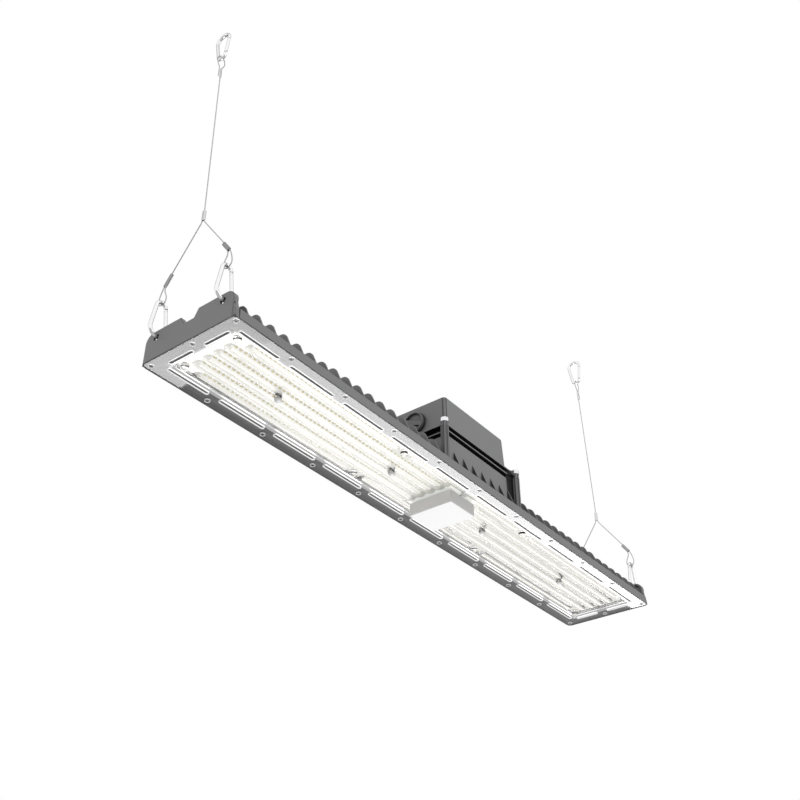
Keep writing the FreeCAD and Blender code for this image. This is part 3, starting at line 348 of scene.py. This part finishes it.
# ---- snap hooks -----------------------------------------------------------------------
# Bent from six-millimetre rod, bright zinc plated and polished. Each has a spring gate that
# turns on a rivet, so the hook clips to an end plate's eye or to the ceiling.
bright_zinc = finish_of("bright_zinc", (0.96, 0.96, 0.965), (0.88, 0.88, 0.89),
                        smooth=0.1, rough=0.2, grain=700.0, mottle=90.0, bump=0.000006, metal=1.0)
# painted reflection: the hooks' colour is darkened at their rims
paint_dark_rims(bright_zinc, start=0.45, end=0.85, deepest=0.12)
for side in ("left", "right"):
    for name in ("_top", "_back", "_front"):
        dress(nodes[side + name + "_hook"], bright_zinc)
        dress(nodes[side + name + "_gate"], bright_zinc)
dress(nodes["gate_rivets"], bright_zinc)

# ---- housing --------------------------------------------------------------------------
# Cast aluminium body with cross fins, end plates and driver compartment, with the deck and
# the lid screwed on top, all in one fine satin grey powder coat.
HOLLOW_SAMPLES = 6


def paint_hollow_shade(material, reach, start, end, deepest):
    """Painted shade: darkens a finish's colour in its corners, and where surfaces stand closer
    together than reach.
    """
    hollows = material.node_tree.nodes.new("ShaderNodeAmbientOcclusion")
    hollows.inputs["Distance"].default_value = reach
    hollows.samples = HOLLOW_SAMPLES
    darken(material, hollows.outputs["AO"], start, end, deepest)


def reckon(tree, operation, *values):
    """The result of one sum on numbers and on other nodes' outputs."""
    step = tree.nodes.new("ShaderNodeMath")
    step.operation = operation
    for socket, value in zip(step.inputs, values):
        if isinstance(value, bpy.types.NodeSocket):
            tree.links.new(value, socket)
        else:
            socket.default_value = value
    return step.outputs["Value"]


def axes_of(tree, kind):
    """X, Y and Z of the place on the lamp, or of the way the surface faces."""
    place = tree.nodes.new("ShaderNodeTexCoord")
    apart = tree.nodes.new("ShaderNodeSeparateXYZ")
    tree.links.new(place.outputs[kind], apart.inputs["Vector"])
    return apart.outputs["X"], apart.outputs["Y"], apart.outputs["Z"]


powder_coat = finish_of("grey_powder_coat", (0.262, 0.262, 0.265), (0.242, 0.242, 0.245),
                        smooth=0.45, rough=0.56, grain=1400.0, mottle=9.0, bump=0.00004)
# painted shade: the coat's colour is darkened in its corners and between its fins
paint_hollow_shade(powder_coat, reach=0.03, start=0.75, end=0.25, deepest=0.3)
tree = powder_coat.node_tree
facing_x, facing_y, facing_z = axes_of(tree, "Normal")
height = axes_of(tree, "Object")[2]

# painted shade: upright rounded corners and posts are darkened either side of their middle
CORNER_TURN = 0.26         # X times Y of the way the surface faces, in the middle of the dark
CORNER_SPREAD = 0.16
turn = reckon(tree, "ABSOLUTE", reckon(tree, "MULTIPLY", facing_x, facing_y))
band = reckon(tree, "COMPARE", turn, CORNER_TURN, CORNER_SPREAD)
darken(powder_coat, band, start=0.0, end=1.0, deepest=0.35)

# painted shade: the lower rim round the cover, where it faces down, is darkened almost to black
RIM_TOP_Z = 0.0186
FACING_DOWN = -0.9
down = reckon(tree, "LESS_THAN", facing_z, FACING_DOWN)
lowest = reckon(tree, "LESS_THAN", height, RIM_TOP_Z)
rim = reckon(tree, "MULTIPLY", down, lowest)
darken(powder_coat, rim, start=0.0, end=1.0, deepest=0.12)
for name in ("heat_sink", "end_plate_left", "end_plate_right", "driver_tray", "driver_lid"):
    dress(nodes[name], powder_coat)

# painted shade: the deck's skirt and underside are given a near-black finish in place of the coat,
# for the shade under the deck
black_shade = finish_of("painted_black_shade", (0.012, 0.012, 0.0125), (0.008, 0.008, 0.0085),
                   smooth=0.5, rough=0.65, grain=1400.0, specular=0.2)
HAIR = 0.0001              # keeps a face that lies on a limit on one side of it
DECK_UNDERSIDE_Z = 0.1056
LIP_Z = (0.0954, 0.0978)
ARM_INNER = (0.1, 0.0785)
tray = nodes["driver_tray"]
tray.data.materials.append(black_shade)
for polygon in tray.data.polygons:
    middle = polygon.center
    on_lip = LIP_Z[0] + HAIR < middle.z < LIP_Z[1] + HAIR
    above = middle.z > DECK_UNDERSIDE_Z + HAIR
    on_arm = abs(middle.x) > ARM_INNER[0] and abs(middle.y) > ARM_INNER[1]
    if not (on_lip or above or on_arm):
        polygon.material_index = 1


def between(value, span):
    """Whether a measure lies between the two ends of a span."""
    return span[0] < value < span[1]


# painted shade: the webs that tie the compartment's corners to the posts get the same near-black
WEB_LEFT_X = (-0.1035, -0.0985)
WEB_RIGHT_X = (0.0905, 0.1035)
WEB_Y = (0.072, 0.0865)
WEB_Z = (0.046, 0.09)
body = nodes["heat_sink"]
body.data.materials.append(black_shade)
for polygon in body.data.polygons:
    middle = polygon.center
    beside = between(middle.x, WEB_LEFT_X) or between(middle.x, WEB_RIGHT_X)
    if beside and between(abs(middle.y), WEB_Y) and between(middle.z, WEB_Z):
        polygon.material_index = 1

# painted shade: the gussets' sides get a darker finish, for the shade between them
painted_gusset_shade = finish_of("painted_gusset_shade", (0.06, 0.06, 0.061), (0.045, 0.045, 0.046),
                      smooth=0.5, rough=0.62, grain=1400.0, mottle=9.0, bump=0.00004)
GUSSET_REACH_X = 0.095
GUSSET_Y = (0.0822, 0.0945)
GUSSET_Z = (0.04, 0.078)
FACING_ALONG = 0.9
body.data.materials.append(painted_gusset_shade)
for polygon in body.data.polygons:
    middle = polygon.center
    on_side = abs(polygon.normal.x) > FACING_ALONG and abs(middle.x) < GUSSET_REACH_X
    if on_side and between(abs(middle.y), GUSSET_Y) and between(middle.z, GUSSET_Z):
        polygon.material_index = 2

# ---- web tops -------------------------------------------------------------------------
# The upper ends of the four webs, cast on between the compartment's wall and the arms of
# the deck, and given the same near-black painted shade as the rest of them.
WEB_TOP_Z = (0.0878, 0.0981)
WEB_THICKNESS = 0.0028
WEB_FEET_X = {-1: -0.094, 1: 0.086}      # where the left and right webs leave the wall
WEB_FOOT_Y = 0.0795
WEB_END = (0.1055, 0.083)


def add_block(place, size, turn=0.0):
    """The start of a piece: a block at its place and size, turned about the upright."""
    bpy.ops.object.select_all(action="DESELECT")
    bpy.ops.mesh.primitive_cube_add(size=1.0, location=place, rotation=(0.0, 0.0, turn))
    piece = bpy.context.active_object
    piece.scale = size
    bpy.ops.object.transform_apply(location=True, rotation=True, scale=True)
    return piece


def round_edges(piece, width):
    """Rounds all edges of a piece a little, as a mould does."""
    soften = piece.modifiers.new("edges", "BEVEL")
    soften.width = width
    soften.segments = 2
    bpy.ops.object.modifier_apply(modifier="edges")


def join_as(name, parts):
    """Makes one piece of its like parts."""
    bpy.ops.object.select_all(action="DESELECT")
    for part in parts:
        part.select_set(True)
    bpy.context.view_layer.objects.active = parts[0]
    bpy.ops.object.join()
    piece = bpy.context.active_object
    piece.name = name
    return piece


web_tops = []
for sx, foot_x in WEB_FEET_X.items():
    for sy in (-1, 1):
        foot = Vector((foot_x, sy * WEB_FOOT_Y, 0.0))
        end = Vector((sx * WEB_END[0], sy * WEB_END[1], 0.0))
        run = end - foot
        middle = (foot + end) / 2
        web = add_block((middle.x, middle.y, sum(WEB_TOP_Z) / 2),
                        (run.length, WEB_THICKNESS, WEB_TOP_Z[1] - WEB_TOP_Z[0]),
                        math.atan2(run.y, run.x))
        round_edges(web, 0.0004)
        web_tops.append(web)
webs = join_as("web_tops", web_tops)
webs.data.materials.append(black_shade)
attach(webs, "lamp")

# ---- seals ----------------------------------------------------------------------------
# Moulded silicone rings, matt. Black ones close the lid and the cable entry, and a grey one
# lies in the body's groove under the cover's flange.
silicone = finish_of("black_silicone", (0.03, 0.03, 0.031), (0.02, 0.02, 0.021),
                     smooth=0.6, rough=0.75, grain=500.0, bump=0.00003)
for name in ("lid_gasket", "entry_seal"):
    dress(nodes[name], silicone)
grey_silicone = finish_of("grey_silicone", (0.15, 0.15, 0.153), (0.11, 0.11, 0.113),
                          smooth=0.5, rough=0.65, grain=500.0, bump=0.00003)
dress(nodes["cover_gasket"], grey_silicone)

# ---- cable entry ----------------------------------------------------------------------
# Round cap moulded in dark nylon, with a grip bar across its dished face. It is screwed into
# the lid and closes the cable entry.
dark_nylon = finish_of("dark_nylon", (0.19, 0.19, 0.193), (0.165, 0.165, 0.168),
                       smooth=0.4, rough=0.52, grain=800.0, bump=0.00003)
# painted shade: the nylon's colour is darkened in its hollows
paint_hollow_shade(dark_nylon, reach=0.008, start=0.9, end=0.45, deepest=0.25)
dress(nodes["entry_cap"], dark_nylon)

# ---- screws ---------------------------------------------------------------------------
# Black oxide screws hold the cover round its flange, with four domed nuts along its middle.
# Those of the boards, the end plates' tabs and the posts are zinc plated steel.
black_oxide = finish_of("black_oxide", (0.15, 0.15, 0.155), (0.09, 0.09, 0.093),
                        smooth=0.12, rough=0.25, grain=1200.0, metal=0.9, bump=0.00001)
# painted reflection: the screws' colour is darkened at their rims
paint_dark_rims(black_oxide, start=0.5, end=0.8, deepest=0.05)
zinc_screw = finish_of("zinc_screw", (0.9, 0.9, 0.91), (0.8, 0.8, 0.82),
                       smooth=0.15, rough=0.3, grain=900.0, metal=1.0, bump=0.00001)
cap_zinc = finish_of("cap_zinc", (0.84, 0.84, 0.84), (0.74, 0.74, 0.75),
                     smooth=0.25, rough=0.4, grain=900.0, metal=0.15, bump=0.00001)
# painted reflection: the domed nuts' colour is darkened at their rims
paint_dark_rims(cap_zinc, start=0.55, end=0.9, deepest=0.45)
dress(nodes["cover_screws"], black_oxide)
dress(nodes["cover_caps"], cap_zinc)
for name in ("board_screws", "end_plate_screws", "post_screws"):
    dress(nodes[name], zinc_screw)

# ---- boards and driver ----------------------------------------------------------------
# Printed boards for the LEDs under white solder mask, and the sensor's board under green.
# The driver in its metal case and a nylon terminal block lie closed in above them.
white_mask = finish_of("white_solder_mask", (0.9, 0.875, 0.81), (0.85, 0.825, 0.76),
                       smooth=0.3, rough=0.42, grain=600.0, bump=0.00001)
green_mask = finish_of("green_solder_mask", (0.04, 0.22, 0.1), (0.03, 0.17, 0.08),
                       smooth=0.3, rough=0.4)
driver_metal = finish_of("driver_case", (0.7, 0.7, 0.71), (0.6, 0.6, 0.61),
                         smooth=0.3, rough=0.45, metal=0.9)
terminal_plastic = finish_of("terminal_nylon", (0.82, 0.82, 0.8), (0.76, 0.76, 0.74),
                             smooth=0.3, rough=0.4)


def make_rectangle_group():
    """Node group: 1 within a rectangle round the lamp's middle, seen from below, and 0 outside."""
    group = bpy.data.node_groups.new("within_rectangle", "ShaderNodeTree")
    face = group.interface
    for name in ("Half Length", "Half Width"):
        face.new_socket(name=name, in_out="INPUT", socket_type="NodeSocketFloat")
    face.new_socket(name="Inside", in_out="OUTPUT", socket_type="NodeSocketFloat")
    entry = group.nodes.new("NodeGroupInput")
    result = group.nodes.new("NodeGroupOutput")
    along, across, _ = axes_of(group, "Object")
    in_length = reckon(group, "COMPARE", along, 0.0, entry.outputs["Half Length"])
    in_width = reckon(group, "COMPARE", across, 0.0, entry.outputs["Half Width"])
    inside = reckon(group, "MULTIPLY", in_length, in_width)
    group.links.new(inside, result.inputs["Inside"])
    return group


within_rectangle = make_rectangle_group()


def mask_within(tree, half_sizes):
    """Places the rectangle group with a half length and a half width."""
    area = tree.nodes.new("ShaderNodeGroup")
    area.node_tree = within_rectangle
    area.inputs["Half Length"].default_value = half_sizes[0]
    area.inputs["Half Width"].default_value = half_sizes[1]
    return area.outputs["Inside"]


# painted light: above the sensor box, which keeps the lamps' light off them, the boards are given a
# glow that lifts the shade there
SENSOR_WINDOW = (0.039, 0.047)
tree = white_mask.node_tree
glow = tree.nodes["Principled BSDF"]
glow.inputs["Emission Strength"].default_value = 0.5
tree.links.new(mask_within(tree, SENSOR_WINDOW), glow.inputs["Emission Color"])
dress(nodes["led_board_left"], white_mask)
dress(nodes["led_board_right"], white_mask)
dress(nodes["sensor_board"], green_mask)
dress(nodes["power_supply"], driver_metal)
dress(nodes["terminal_block"], terminal_plastic)

# ---- LED packages ---------------------------------------------------------------------
# Six rows of white moulded packages, each with a yellow phosphor window sunk in its face,
# soldered under the boards. The two outer rows have a gap.
LED_LENGTH = 0.0057
LED_WIDTH = 0.0038
LED_HEIGHT = 0.0008
LED_FRAME = 0.00022        # width of the white frame round the window
WINDOW_SLOPE = 0.0001
WINDOW_DEPTH = 0.00015
LED_PITCH = 0.00932
ROW_PITCH = 0.0211
BOARD_FACE_Z = 0.0304      # underside of the boards
ROWS = (-2.5, -1.5, -0.5, 0.5, 1.5, 2.5)
INNER_RUNS = ((0.05, 0.545),)                     # from the lamp's middle outwards
OUTER_RUNS = ((0.01, 0.158), (0.206, 0.526))
led_body = finish_of("led_body", (0.86, 0.86, 0.83), (0.8, 0.8, 0.77),
                     smooth=0.3, rough=0.4)
phosphor = finish_of("led_phosphor", (0.46, 0.37, 0.01), (0.36, 0.28, 0.008),
                     smooth=0.25, rough=0.4, mottle=400.0)


def select_underside(piece):
    """Goes into edit mode, with only the faces that point down selected."""
    bpy.ops.object.mode_set(mode="EDIT")
    bm = bmesh.from_edit_mesh(piece.data)
    bm.select_mode = {"FACE"}
    for face in bm.faces:
        face.select_set(face.normal.z < -0.5)
    bmesh.update_edit_mesh(piece.data)


def led_row(first_x, count, y):
    """One package, shaped once and arrayed along its row."""
    row = add_block((first_x, y, BOARD_FACE_Z - LED_HEIGHT / 2), (LED_LENGTH, LED_WIDTH, LED_HEIGHT))
    row.data.materials.append(led_body)
    row.data.materials.append(phosphor)
    select_underside(row)
    bpy.ops.mesh.inset(thickness=LED_FRAME, depth=0.0)
    bpy.ops.mesh.inset(thickness=WINDOW_SLOPE, depth=-WINDOW_DEPTH)
    row.active_material_index = 1
    bpy.ops.object.material_slot_assign()
    bpy.ops.object.mode_set(mode="OBJECT")
    repeat = row.modifiers.new("row", "ARRAY")
    repeat.count = count
    repeat.use_relative_offset = False
    repeat.use_constant_offset = True
    repeat.constant_offset_displace = (LED_PITCH, 0.0, 0.0)
    bpy.ops.object.modifier_apply(modifier="row")
    return row


led_rows = []
for sx in (-1, 1):
    for row_number in ROWS:
        runs = OUTER_RUNS if row_number in (ROWS[0], ROWS[-1]) else INNER_RUNS
        for start, end in runs:
            count = int((end - start) / LED_PITCH)
            first = start + LED_PITCH / 2 if sx > 0 else -start - LED_PITCH * (count - 0.5)
            led_rows.append(led_row(first, count, row_number * ROW_PITCH))
leds = join_as("led_packages", led_rows)
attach(leds, "lamp")

# ---- board connectors -----------------------------------------------------------------
# White nylon connectors, one either side of the sensor, with a stepped face. They are
# soldered under both boards and bridge the gap between them.
CONNECTOR_SIZE = (0.013, 0.0155, 0.0022)
CONNECTOR_Y = 0.0528
CONNECTOR_Z = 0.0293
CONNECTOR_RIM = 0.0012
STEP_SLOPE = 0.0002
STEP_DEPTH = 0.0005
connectors = []
for sy in (-1, 1):
    bridge = add_block((0.0, sy * CONNECTOR_Y, CONNECTOR_Z), CONNECTOR_SIZE)
    select_underside(bridge)
    bpy.ops.mesh.inset(thickness=CONNECTOR_RIM, depth=0.0)
    bpy.ops.mesh.inset(thickness=STEP_SLOPE, depth=-STEP_DEPTH)
    bpy.ops.object.mode_set(mode="OBJECT")
    round_edges(bridge, 0.0002)
    connectors.append(bridge)
bridges = join_as("board_connectors", connectors)
bridges.data.materials.append(led_body)
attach(bridges, "lamp")

# ---- clear cover ----------------------------------------------------------------------
# Clear moulded polycarbonate, polished, with a pocketed screw flange round a recess and six
# rows of long lens strips. The boards, seals and screws show through it.
clear_cover = finish_of("clear_polycarbonate", (0.985, 0.985, 0.98), (0.965, 0.97, 0.965),
                        smooth=0.01, rough=0.04, grain=300.0, bump=0.0000008)
tree = clear_cover.node_tree
shader = tree.nodes["Principled BSDF"]
shader.inputs["Transmission Weight"].default_value = 1.0
shader.inputs["IOR"].default_value = 1.25
shader.inputs["Coat Roughness"].default_value = 0.02
shader.inputs["Emission Strength"].default_value = 1.0

# light falls through it onto the boards without being caught
path = tree.nodes.new("ShaderNodeLightPath")
passing = reckon(tree, "MAXIMUM", path.outputs["Is Shadow Ray"], path.outputs["Is Diffuse Ray"])
solid = reckon(tree, "SUBTRACT", 1.0, passing)
tree.links.new(solid, shader.inputs["Alpha"])

# the floors of the flange's pockets have no coat and are tinted almost black, with a faint painted
# glow of the same tone
FLANGE_INNER = (0.5738, 0.0668)      # half length and half width inside the flange
POCKET_FLOOR_Z = 0.0205
FLOOR_TONE = 0.04
within_flange = mask_within(tree, FLANGE_INNER)
flange = reckon(tree, "SUBTRACT", 1.0, within_flange)
height = axes_of(tree, "Object")[2]
deep = reckon(tree, "GREATER_THAN", height, POCKET_FLOOR_Z)
pocket = reckon(tree, "MULTIPLY", flange, deep)
darken(clear_cover, pocket, start=0.0, end=1.0, deepest=FLOOR_TONE)
gloss = reckon(tree, "SUBTRACT", 1.0, pocket)
tree.links.new(gloss, shader.inputs["Coat Weight"])
floor_light = reckon(tree, "MULTIPLY", pocket, FLOOR_TONE)

# painted light: their upright walls are given a glow, for the light a clear edge catches
FLANGE_OUTER = (0.597, 0.0895)       # as far as the outermost walls of the pockets
UPRIGHT_SPREAD = 0.5
WALL_LIGHT = 0.75
upright = reckon(tree, "COMPARE", axes_of(tree, "Normal")[2], 0.0, UPRIGHT_SPREAD)
flange_wall = reckon(tree, "MULTIPLY", upright, flange)
pocket_wall = reckon(tree, "MULTIPLY", flange_wall, mask_within(tree, FLANGE_OUTER))
wall_light = reckon(tree, "MULTIPLY", pocket_wall, WALL_LIGHT)

# painted light: the sloped wall of the recess is given a paler glow
SLOPE_INNER = (0.5675, 0.0605)
PANEL_UNDERSIDE_Z = 0.0236
SLOPE_GLOW = 0.32
outside_panel = reckon(tree, "SUBTRACT", 1.0, mask_within(tree, SLOPE_INNER))
ring = reckon(tree, "MULTIPLY", outside_panel, within_flange)
below_panel = reckon(tree, "LESS_THAN", height, PANEL_UNDERSIDE_Z)
slope = reckon(tree, "MULTIPLY", ring, below_panel)
flange_light = reckon(tree, "MAXIMUM", wall_light, floor_light)
edge_light = reckon(tree, "MULTIPLY_ADD", slope, SLOPE_GLOW, flange_light)
tree.links.new(edge_light, shader.inputs["Emission Color"])
dress(nodes["lens_cover"], clear_cover)

# ---- sensor ---------------------------------------------------------------------------
# Box of the motion sensor, moulded in satin white ABS and fixed under the middle of the
# cover, with its board inside.
white_plastic = finish_of("white_abs", (0.93, 0.93, 0.93), (0.9, 0.9, 0.9),
                          smooth=0.35, rough=0.45, grain=1200.0, bump=0.00002)
dress(nodes["sensor_case"], white_plastic)

# ---- studio ---------------------------------------------------------------------------
# Pale matt floor well below the hanging lamp, an even white surround and two soft lamps.
# Three cards show only in the gloss of metal, paint and plastic.
FLOOR_Z = -2.0
bpy.ops.object.select_all(action="DESELECT")
bpy.ops.mesh.primitive_plane_add(size=30.0, location=(0.0, 0.0, FLOOR_Z))
floor = bpy.context.active_object
floor.name = "studio_floor"
paint = bpy.data.materials.new("pale_floor")
paint.use_nodes = True
matt = paint.node_tree.nodes["Principled BSDF"]
matt.inputs["Base Color"].default_value = (0.8, 0.8, 0.8, 1.0)
matt.inputs["Roughness"].default_value = 0.9
matt.inputs["Specular IOR Level"].default_value = 0.0
floor.data.materials.append(paint)

# the surround is white where it is seen, in gloss and through glass too, and lights less
SURROUND_LIGHT = 0.6
SURROUND_SEEN = 1.0
world = bpy.data.worlds.new("studio_surround")
bpy.context.scene.world = world
world.use_nodes = True
tree = world.node_tree
surround = tree.nodes["Background"]
path = tree.nodes.new("ShaderNodeLightPath")
seen = reckon(tree, "MAXIMUM", path.outputs["Is Camera Ray"], path.outputs["Is Transmission Ray"])
seen_or_mirrored = reckon(tree, "MAXIMUM", seen, path.outputs["Is Glossy Ray"])
level = tree.nodes.new("ShaderNodeMapRange")
level.inputs["To Min"].default_value = SURROUND_LIGHT
level.inputs["To Max"].default_value = SURROUND_SEEN
tree.links.new(seen_or_mirrored, level.inputs["Value"])
surround.inputs["Color"].default_value = (1.0, 1.0, 1.0, 1.0)
tree.links.new(level.outputs["Result"], surround.inputs["Strength"])


def soft_lamp(name, place, target, size, power):
    """A square soft lamp aimed at a point."""
    bpy.ops.object.select_all(action="DESELECT")
    bpy.ops.object.light_add(type="AREA", location=place)
    lamp = bpy.context.active_object
    lamp.name = name
    lamp.data.shape = "SQUARE"
    lamp.data.size = size
    lamp.data.energy = power
    aim = Vector(target) - Vector(place)
    lamp.rotation_euler = aim.to_track_quat("-Z", "Y").to_euler()


soft_lamp("low_lamp", place=(0.85, 0.2, -1.7), target=(0.45, 0.0, 0.05), size=1.6, power=22.5)
soft_lamp("side_lamp", place=(0.3, -2.4, 0.2), target=(0.0, 0.0, 0.05), size=1.6, power=6.0)


def gloss_card(name, place, turn, size, strength):
    """An even card of a length and width, which nothing but gloss sees."""
    bpy.ops.object.select_all(action="DESELECT")
    bpy.ops.mesh.primitive_plane_add(size=1.0, location=place, rotation=turn)
    card = bpy.context.active_object
    card.name = name
    card.scale = (*size, 1.0)
    finish = bpy.data.materials.new(name)
    finish.use_nodes = True
    shine = finish.node_tree.nodes["Principled BSDF"]
    shine.inputs["Base Color"].default_value = (0.02, 0.02, 0.02, 1.0)
    shine.inputs["Emission Color"].default_value = (1.0, 1.0, 1.0, 1.0)
    shine.inputs["Emission Strength"].default_value = strength
    card.data.materials.append(finish)
    card.visible_camera = False
    card.visible_diffuse = False
    card.visible_shadow = False
    card.visible_transmission = False


LYING = (0.0, 0.0, 0.0)
STANDING = (math.radians(90.0), 0.0, math.radians(-50.0))
gloss_card("white_card_long", (3.1, 1.57, -1.9), LYING, size=(5.0, 0.54), strength=5.6)
gloss_card("white_card_end", (0.95, 1.82, -1.88), LYING, size=(0.5, 1.1), strength=4.6)
gloss_card("dark_flag", (1.9, 1.6, 1.8), STANDING, size=(6.5, 4.2), strength=0.12)

bpy.context.scene.view_settings.view_transform = "Standard"
